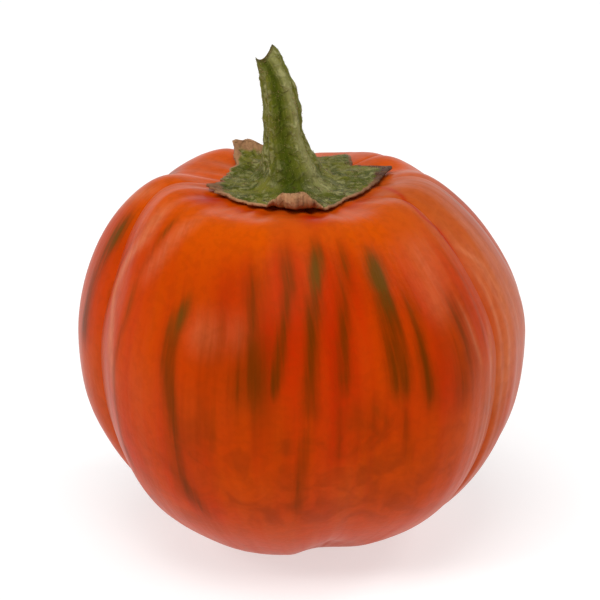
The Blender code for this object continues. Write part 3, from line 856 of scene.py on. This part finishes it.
def patches(tree, group, per_metre, low, high, detail=3.0, twist=0.0):
    made = node(tree, "ShaderNodeGroup", node_tree=group)
    values = {"Patches per metre": per_metre, "Low": low, "High": high, "Detail": detail, "Twist": twist}
    for name, value in values.items():
        made.inputs[name].default_value = value
    return made.outputs["Mask"]


def new_material(name):
    material = bpy.data.materials.new(name)
    material.use_nodes = True
    return material, material.node_tree, material.node_tree.nodes["Principled BSDF"]


def bumped(tree, height, distance):
    return node(tree, "ShaderNodeBump", {"Height": height, "Distance": distance, "Strength": 1.0}).outputs["Normal"]


def skin_material(fibre, patch):
    """Glossy scarlet skin: orange to red, with brown and green streaks, a faint brown net low down, and a corky scar."""
    material, tree, shader = new_material("waxy_scarlet_skin")
    place = attribute(tree, "skin_place", "Vector")
    broad = fibres(tree, fibre, place, 3.2, 1.1, 2.0)
    strands = fibres(tree, fibre, place, 16.0, 1.6, 3.0)
    threads = fibres(tree, fibre, place, 48.0, 4.5, 2.0)

    # Painted light: the crown is made a brighter orange towards the top
    crown = attribute(tree, "crown")
    colour = mixed(tree, crown, ORANGE, LIT_CROWN_ORANGE)
    tawny = maths(tree, "ADD", attribute(tree, "tawny"), ramp(tree, broad, 0.35, 0.65, -0.25, 0.25), clamp=True)
    colour = mixed(tree, tawny, colour, TAWNY)
    red = maths(tree, "ADD", attribute(tree, "red"), ramp(tree, broad, 0.35, 0.65, -0.3, 0.3), clamp=True)
    red = maths(tree, "ADD", red, ramp(tree, strands, 0.3, 0.7, -0.15, 0.15), clamp=True)
    red = maths(tree, "MULTIPLY", red, maths(tree, "SUBTRACT", 1.0, maths(tree, "MULTIPLY", attribute(tree, "tawny"), 0.75)))
    # Painted light: the crown is kept less scarlet, as part of its brighter colour
    red = maths(tree, "MULTIPLY", red, ramp(tree, crown, 0.0, 1.0, 1.0, 0.35))
    colour = mixed(tree, red, colour, SCARLET)

    cells = patches(tree, patch, 210.0, 0.38, 0.72, 4.0, 0.8)
    # Painted shade under the calyx's edge and along the shoulder's step, and patches of deeper red skin
    colour = mixed(tree, attribute(tree, "shade_and_deep_red"), colour, SHADE_AND_DEEP_RED)
    # Painted reflections and highlights: pale lines on the folds and two soft pale spots
    pale = maths(tree, "MULTIPLY", attribute(tree, "painted_reflection_line"), ramp(tree, threads, 0.3, 0.7, 0.6, 1.0))
    colour = mixed(tree, pale, colour, PAINTED_REFLECTION_PALE)

    mottle = patches(tree, patch, 700.0, 0.42, 0.64, 4.0, 0.3)
    colour = mixed(tree, maths(tree, "MULTIPLY", mottle, 0.16), colour, NET_BROWN)

    net = maths(tree, "MULTIPLY", attribute(tree, "net"), maths(tree, "MULTIPLY", cells, 0.65))
    colour = mixed(tree, net, colour, NET_BROWN)

    frayed = ramp(tree, strands, 0.25, 0.75, 0.62, 1.28)
    frayed = maths(tree, "MULTIPLY", frayed, ramp(tree, threads, 0.25, 0.75, 0.85, 1.15))
    faint = maths(tree, "MULTIPLY", attribute(tree, "streaky"), ramp(tree, strands, 0.45, 0.80, 0.0, 0.5))
    umber = maths(tree, "MULTIPLY", attribute(tree, "umber"), ramp(tree, strands, 0.3, 0.7, 0.6, 1.2))
    faint = maths(tree, "MAXIMUM", faint, umber)
    brown = maths(tree, "MAXIMUM", maths(tree, "MULTIPLY", attribute(tree, "brown"), frayed), faint)
    brown = ramp(tree, brown, 0.0, 1.15)
    colour = mixed(tree, maths(tree, "MULTIPLY", brown, 0.95), colour, BROWN)
    green = ramp(tree, maths(tree, "MULTIPLY", attribute(tree, "green"), frayed), 0.1, 0.8)
    colour = mixed(tree, maths(tree, "MULTIPLY", green, 0.85), colour, OLIVE)

    corky = maths(tree, "MULTIPLY", attribute(tree, "scar"), patches(tree, patch, 900.0, 0.3, 0.6, 4.0))
    colour = mixed(tree, corky, colour, CORK)
    tree.links.new(colour, shader.inputs["Base Color"])

    grain = patches(tree, patch, 1500.0, 0.2, 0.8, 2.0)
    roughness = maths(tree, "ADD", ramp(tree, strands, 0.3, 0.7, 0.29, 0.36), maths(tree, "MULTIPLY", corky, 0.4))
    tree.links.new(roughness, shader.inputs["Roughness"])
    height = maths(tree, "ADD", maths(tree, "MULTIPLY", grain, 0.35), maths(tree, "MULTIPLY", threads, 0.65))
    tree.links.new(bumped(tree, height, 0.03 * MM), shader.inputs["Normal"])
    shader.inputs["Specular IOR Level"].default_value = 0.07
    shader.inputs["Specular Tint"].default_value = (1.0, 0.5, 0.2, 1.0)
    shader.inputs["Subsurface Weight"].default_value = 0.08
    shader.inputs["Subsurface Radius"].default_value = (1.0, 0.2, 0.05)
    shader.inputs["Subsurface Scale"].default_value = 1.5 * MM
    return material


def leaf_material(fibre, patch):
    """Dull green calyx and stem with grey scurf, dark spots, dried edges, a tan underside and a pale cut end."""
    material, tree, shader = new_material("scurfy_green_calyx")
    place = attribute(tree, "leaf_place", "Vector")
    strands = fibres(tree, fibre, place, 9.0, 1.2, 3.0)
    threads = fibres(tree, fibre, place, 26.0, 3.0, 3.0)
    blotches = patches(tree, patch, 230.0, 0.42, 0.60, 4.0, 0.6)
    clouds = patches(tree, patch, 420.0, 0.48, 0.62, 5.0, 0.3)
    spots = patches(tree, patch, 620.0, 0.60, 0.68, 4.0, 0.4)
    flecks = patches(tree, patch, 1000.0, 0.48, 0.62, 4.0, 0.5)
    stem = attribute(tree, "stem")
    on_leaf = maths(tree, "SUBTRACT", 1.0, stem)
    # Painted highlight up the stem's right side, broken by flecks
    ridge = maths(tree, "MULTIPLY", attribute(tree, "ridge"), ramp(tree, flecks, 0.0, 1.0, 0.62, 1.1))
    band = maths(tree, "MULTIPLY", attribute(tree, "band"), ramp(tree, threads, 0.3, 0.6, 0.6, 1.0))

    colour = mixed(tree, blotches, LEAF_GREEN, LEAF_YELLOW)
    colour = mixed(tree, maths(tree, "MULTIPLY", clouds, 0.6), colour, LEAF_GREY)
    colour = mixed(tree, maths(tree, "MULTIPLY", stem, 0.75), colour, mixed(tree, ramp(tree, strands, 0.35, 0.65), STEM_GREEN, LEAF_YELLOW))
    scurf = maths(tree, "MULTIPLY", flecks, ramp(tree, clouds, 0.0, 1.0, 0.5, 0.85))
    scurf = maths(tree, "MULTIPLY", scurf, ramp(tree, band, 0.0, 1.0, 1.0, 0.2))
    colour = mixed(tree, scurf, colour, LEAF_PALE)
    colour = mixed(tree, maths(tree, "MULTIPLY", band, 0.9), colour, STEM_DARK)
    # Painted highlight: the stem's right side made pale
    colour = mixed(tree, maths(tree, "MULTIPLY", ridge, 0.85), colour, LEAF_PALE)
    colour = mixed(tree, maths(tree, "MULTIPLY", maths(tree, "MULTIPLY", spots, on_leaf), 0.6), colour, LEAF_SPOT)
    # Painted shade: thin near-black lines along the calyx's creases
    crease_shade = maths(tree, "MULTIPLY", ramp(tree, threads, 0.46, 0.36), ramp(tree, on_leaf, 0.0, 1.0, 0.15, 0.45))
    colour = mixed(tree, crease_shade, colour, CREASE_SHADE)
    colour = mixed(tree, maths(tree, "MULTIPLY", attribute(tree, "underside"), 0.9), colour, UNDERSIDE_TAN)

    dark = maths(tree, "MULTIPLY", attribute(tree, "dark"), ramp(tree, threads, 0.2, 0.6, 0.7, 1.0))
    dried = mixed(tree, dark, DRIED_TAN, DRIED_DARK)
    dried = mixed(tree, maths(tree, "MULTIPLY", ramp(tree, threads, 0.48, 0.68), 0.22), dried, DRIED_DARK)
    edge = maths(tree, "MULTIPLY", attribute(tree, "edge"), 0.6)
    dry = maths(tree, "ADD", attribute(tree, "dry"), ramp(tree, clouds, 0.0, 1.0, -0.15, 0.2))
    dry = maths(tree, "MAXIMUM", ramp(tree, dry, 0.25, 0.7), edge)
    colour = mixed(tree, dry, colour, dried)

    rings = fibres(tree, fibre, node(tree, "ShaderNodeTexCoord").outputs["Object"], 1500.0, 300.0, 2.0)
    cut = mixed(tree, ramp(tree, rings, 0.35, 0.65), CUT_PALE, DRIED_TAN)
    colour = mixed(tree, attribute(tree, "cut"), colour, cut)
    colour = mixed(tree, maths(tree, "MULTIPLY", attribute(tree, "cut_rim"), 0.85), colour, LEAF_SPOT)
    tree.links.new(colour, shader.inputs["Base Color"])
    tree.links.new(ramp(tree, flecks, 0.0, 1.0, 0.62, 0.85), shader.inputs["Roughness"])
    height = maths(tree, "ADD", maths(tree, "MULTIPLY", flecks, 0.6), maths(tree, "MULTIPLY", clouds, 0.8))
    tree.links.new(bumped(tree, height, 0.22 * MM), shader.inputs["Normal"])
    shader.inputs["Specular IOR Level"].default_value = 0.25
    shader.inputs["Specular Tint"].default_value = (0.85, 1.0, 0.2, 1.0)
    return material


def hair_material(fibre, patch):
    """Pale hairs, some of them brownish."""
    material, tree, shader = new_material("pale_calyx_hairs")
    worn = patches(tree, patch, 500.0, 0.4, 0.65)
    tree.links.new(mixed(tree, worn, HAIR, DRIED_TAN), shader.inputs["Base Color"])
    shader.inputs["Roughness"].default_value = 0.7
    return material


def floor_material(patch):
    """A pale matt table, softly lit from below."""
    material, tree, shader = new_material("lit_table")
    shader.inputs["Emission Color"].default_value = (1.0, 1.0, 1.0, 1.0)
    shader.inputs["Emission Strength"].default_value = TABLE_GLOW
    soft = patches(tree, patch, 40.0, 0.3, 0.7)
    tree.links.new(mixed(tree, soft, FLOOR, tuple(0.985 * part for part in FLOOR)), shader.inputs["Base Color"])
    shader.inputs["Roughness"].default_value = 0.8
    return material


def named_attribute(tree, name, data_type="FLOAT"):
    made = node(tree, "GeometryNodeInputNamedAttribute", {"Name": name}, data_type=data_type)
    return next(socket for socket in made.outputs if socket.enabled and socket.name == "Attribute")


def relief_tree(name, place, shown_by, clear_by):
    """Geometry nodes that raise folds, which follow the piece's own place, and bumps all over it."""
    tree, given, result = new_group(
        name,
        "GeometryNodeTree",
        (
            ("Geometry", "NodeSocketGeometry", None),
            ("Fold height", "NodeSocketFloat", 0.1 * MM),
            ("Folds across", "NodeSocketFloat", 10.0),
            ("Folds along", "NodeSocketFloat", 1.0),
            ("Bump height", "NodeSocketFloat", 0.1 * MM),
            ("Bumps per metre", "NodeSocketFloat", 100.0),
            ("Bump detail", "NodeSocketFloat", 2.0),
            ("Finish", "NodeSocketMaterial", None),
        ),
        (("Geometry", "NodeSocketGeometry"),),
    )
    stretch = node(tree, "ShaderNodeCombineXYZ", {0: given["Folds across"], 1: given["Folds across"], 2: given["Folds along"]})
    along = node(
        tree,
        "ShaderNodeVectorMath",
        {0: named_attribute(tree, place, "FLOAT_VECTOR"), 1: stretch.outputs[0]},
        operation="MULTIPLY",
    )
    folds = node(tree, "ShaderNodeTexNoise", {"Vector": along.outputs[0], "Scale": 1.0, "Detail": 1.0}).outputs["Fac"]
    folds = maths(tree, "MULTIPLY", maths(tree, "SUBTRACT", folds, 0.5), given["Fold height"])
    folds = maths(tree, "MULTIPLY", folds, named_attribute(tree, shown_by))
    position = node(tree, "GeometryNodeInputPosition").outputs[0]
    bumps = node(
        tree,
        "ShaderNodeTexNoise",
        {"Vector": position, "Scale": given["Bumps per metre"], "Detail": given["Bump detail"]},
    ).outputs["Fac"]
    bumps = maths(tree, "MULTIPLY", maths(tree, "SUBTRACT", bumps, 0.5), given["Bump height"])
    height = maths(tree, "MULTIPLY", maths(tree, "ADD", folds, bumps), named_attribute(tree, clear_by))
    normal = node(tree, "GeometryNodeInputNormal").outputs[0]
    offset = node(tree, "ShaderNodeVectorMath", {0: normal, "Scale": height}, operation="SCALE").outputs[0]
    moved = node(tree, "GeometryNodeSetPosition", {"Geometry": given["Geometry"], "Offset": offset})
    whole = node(tree, "GeometryNodeRealizeInstances", {"Geometry": moved.outputs[0]})
    done = node(tree, "GeometryNodeSetMaterial", {"Geometry": whole.outputs[0], "Material": given["Finish"]})
    tree.links.new(done.outputs[0], result["Geometry"])
    return tree


def hair_tree():
    """Geometry nodes that stand thin pointed hairs on a surface, where its hairy attribute is 1."""
    tree, given, result = new_group(
        "fine_hairs",
        "GeometryNodeTree",
        (
            ("Geometry", "NodeSocketGeometry", None),
            ("Hairs per square metre", "NodeSocketFloat", 8.0e6),
            ("Length", "NodeSocketFloat", 0.6 * MM),
            ("Thickness", "NodeSocketFloat", 0.05 * MM),
            ("Lean", "NodeSocketFloat", 0.9),
            ("Seed", "NodeSocketInt", SEED),
            ("Finish", "NodeSocketMaterial", None),
        ),
        (("Geometry", "NodeSocketGeometry"),),
    )
    density = maths(tree, "MULTIPLY", named_attribute(tree, "hairy"), given["Hairs per square metre"])
    spread = node(
        tree,
        "GeometryNodeDistributePointsOnFaces",
        {"Mesh": given["Geometry"], "Density": density, "Seed": given["Seed"]},
        distribute_method="RANDOM",
    )
    half = maths(tree, "MULTIPLY", given["Thickness"], 0.5)
    cone = node(
        tree,
        "GeometryNodeMeshCone",
        {"Vertices": 3, "Side Segments": 1, "Fill Segments": 1, "Radius Bottom": half, "Depth": given["Length"]},
        fill_type="NGON",
    )
    lean = node(tree, "FunctionNodeRandomValue", {"Seed": given["Seed"]}, data_type="FLOAT_VECTOR")
    lean.inputs["Min"].default_value = (-1.0, -1.0, -3.1)
    lean.inputs["Max"].default_value = (1.0, 1.0, 3.1)
    leaning = node(tree, "ShaderNodeVectorMath", {0: lean.outputs[0], "Scale": given["Lean"]}, operation="SCALE").outputs[0]
    turned = node(
        tree,
        "FunctionNodeRotateRotation",
        {"Rotation": spread.outputs["Rotation"], "Rotate By": leaning},
        rotation_space="LOCAL",
    )
    size = node(tree, "FunctionNodeRandomValue", {"Seed": maths(tree, "ADD", given["Seed"], 1.0)}, data_type="FLOAT")
    sizes = [socket for socket in size.inputs if socket.enabled and socket.name in ("Min", "Max")]
    sizes[0].default_value, sizes[1].default_value = 0.45, 1.0
    factor = next(socket for socket in size.outputs if socket.enabled)
    placed = node(
        tree,
        "GeometryNodeInstanceOnPoints",
        {"Points": spread.outputs["Points"], "Instance": cone.outputs["Mesh"], "Rotation": turned.outputs[0], "Scale": factor},
    )
    whole = node(tree, "GeometryNodeRealizeInstances", {"Geometry": placed.outputs[0]})
    done = node(tree, "GeometryNodeSetMaterial", {"Geometry": whole.outputs[0], "Material": given["Finish"]})
    tree.links.new(done.outputs[0], result["Geometry"])
    return tree


def shaped(item, tree, name, **values):
    """The plain mesh that a tree makes of an object, as an object of its own."""
    modifier = item.modifiers.new(tree.name, "NODES")
    modifier.node_group = tree
    labels = {label.replace("_", " "): value for label, value in values.items()}
    for socket in tree.interface.items_tree:
        if socket.in_out == "INPUT" and socket.name in labels:
            modifier[socket.identifier] = labels[socket.name]
    depsgraph = bpy.context.evaluated_depsgraph_get()
    mesh = bpy.data.meshes.new_from_object(
        item.evaluated_get(depsgraph), preserve_all_data_layers=True, depsgraph=depsgraph
    )
    mesh.name = name
    item.modifiers.remove(modifier)
    made = bpy.data.objects.new(name, mesh)
    bpy.context.scene.collection.objects.link(made)
    return made


def remove(item):
    mesh = item.data
    bpy.data.objects.remove(item)
    bpy.data.meshes.remove(mesh)


def moved_by(item, offset):
    """Moves an object's mesh, so that the object itself stays at the origin."""
    for vertex_block in (item.data.vertices,):
        places = np.empty(len(vertex_block) * 3, dtype=np.float32)
        vertex_block.foreach_get("co", places)
        places = places.reshape(-1, 3) + np.array(offset, dtype=np.float32)
        vertex_block.foreach_set("co", places.ravel())
    item.data.update()


def middle_of(item):
    """The middle of an object's box in plan."""
    places = np.empty(len(item.data.vertices) * 3, dtype=np.float32)
    item.data.vertices.foreach_get("co", places)
    places = places.reshape(-1, 3)
    return (places.min(axis=0) + places.max(axis=0))[:2] / 2.0


def make_floor(material):
    mesh = bpy.data.meshes.new("floor")
    size = 4.0
    mesh.from_pydata([(-size, -size, 0.0), (size, -size, 0.0), (size, size, 0.0), (-size, size, 0.0)], [], [(0, 1, 2, 3)])
    mesh.materials.append(material)
    floor = bpy.data.objects.new("floor", mesh)
    bpy.context.scene.collection.objects.link(floor)


def make_camera(offset):
    camera = bpy.data.objects.new("camera", bpy.data.cameras.new("camera"))
    bpy.context.scene.collection.objects.link(camera)
    elevation = math.radians(CAMERA_ELEVATION)
    x, y = CAMERA_SIDE + offset[0], offset[1]
    back, up = CAMERA_DISTANCE * math.cos(elevation), CAMERA_DISTANCE * math.sin(elevation)
    camera.location = (x, y - back, CAMERA_CENTRE + up)
    aim = Vector((x, y, CAMERA_AIM)) - camera.location
    camera.rotation_euler = aim.to_track_quat("-Z", "Y").to_euler()
    camera.data.sensor_width = CAMERA_SENSOR
    camera.data.lens = CAMERA_LENS
    camera.data.clip_start = 0.01
    bpy.context.scene.camera = camera


def make_world():
    """A white studio that is darker overhead and on the side that the photographer stands on."""
    world = bpy.data.worlds.new("studio")
    bpy.context.scene.world = world
    world.use_nodes = True
    tree = world.node_tree
    direction = node(tree, "ShaderNodeTexCoord").outputs["Generated"]
    split = node(tree, "ShaderNodeSeparateXYZ", {0: direction}).outputs
    wall = ramp(tree, split["Y"], 0.2, -0.5, 1.0, FRONT_SHARE)
    ceiling = ramp(tree, split["Z"], 0.3, 0.6, 1.0, CEILING_SHARE)
    light = maths(tree, "MULTIPLY", wall, ceiling)
    background = tree.nodes["Background"]
    tree.links.new(light, background.inputs["Color"])
    background.inputs["Strength"].default_value = WORLD_STRENGTH


def make_light(name, azimuth, elevation, distance, size, power, target):
    """A soft square light that stands at an azimuth and elevation and faces the fruit."""
    lamp = bpy.data.lights.new(name, "AREA")
    lamp.shape = "SQUARE"
    lamp.size = size
    lamp.energy = power
    item = bpy.data.objects.new(name, lamp)
    bpy.context.scene.collection.objects.link(item)
    turn, lift = math.radians(azimuth), math.radians(elevation)
    away = Vector((math.cos(turn) * math.cos(lift), math.sin(turn) * math.cos(lift), math.sin(lift)))
    item.location = Vector(target) + away * distance
    item.rotation_euler = away.to_track_quat("Z", "Y").to_euler()


def main():
    scene = bpy.context.scene
    scene.view_settings.view_transform = "Standard"
    fibre, patch = fibres_group(), patches_group()

    smooth_fruit = make_fruit()
    fruit = shaped(
        smooth_fruit,
        relief_tree("skin_relief", "skin_place", "fold", "clear"),
        "fruit_skin",
        Fold_height=0.6 * MM,
        Folds_across=13.0,
        Folds_along=1.2,
        Bump_height=0.25 * MM,
        Bumps_per_metre=70.0,
        Bump_detail=1.0,
        Finish=skin_material(fibre, patch),
    )
    remove(smooth_fruit)
    smooth_calyx = make_calyx_stem()
    calyx = shaped(
        smooth_calyx,
        relief_tree("calyx_relief", "leaf_place", "stem", "top"),
        "calyx_and_stem",
        Fold_height=0.5 * MM,
        Folds_across=3.0,
        Folds_along=6.0,
        Bump_height=1.1 * MM,
        Bumps_per_metre=360.0,
        Bump_detail=4.0,
        Finish=leaf_material(fibre, patch),
    )
    remove(smooth_calyx)
    hairs = shaped(
        calyx,
        hair_tree(),
        "calyx_hairs",
        Hairs_per_square_metre=5.0e6,
        Length=0.5 * MM,
        Thickness=0.045 * MM,
        Finish=hair_material(fibre, patch),
    )

    low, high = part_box("fruit")
    offset = (np.array(low[:2]) + np.array(high[:2])) / 2.0 - middle_of(fruit)
    for item in (fruit, calyx, hairs):
        moved_by(item, (*offset, 0.0))
    for item, name, finish in (
        (fruit, "fruit", "scarlet_skin"),
        (calyx, "calyx_stem", "green_calyx"),
        (hairs, "calyx_stem", "green_calyx"),
    ):
        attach(item, "root")
        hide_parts(name)

    make_floor(floor_material(patch))
    make_camera(offset)
    make_world()
    centre = (0.0, 0.0, EQUATOR_HEIGHT)
    make_light("top_window", -100.0, 62.0, 1.2, 0.7, 9.4, centre)
    make_light("left_window", -140.0, 36.0, 1.2, 0.32, 3.0, centre)
    make_light("right_window", 11.0, 43.0, 1.2, 0.32, 2.6, centre)


main()
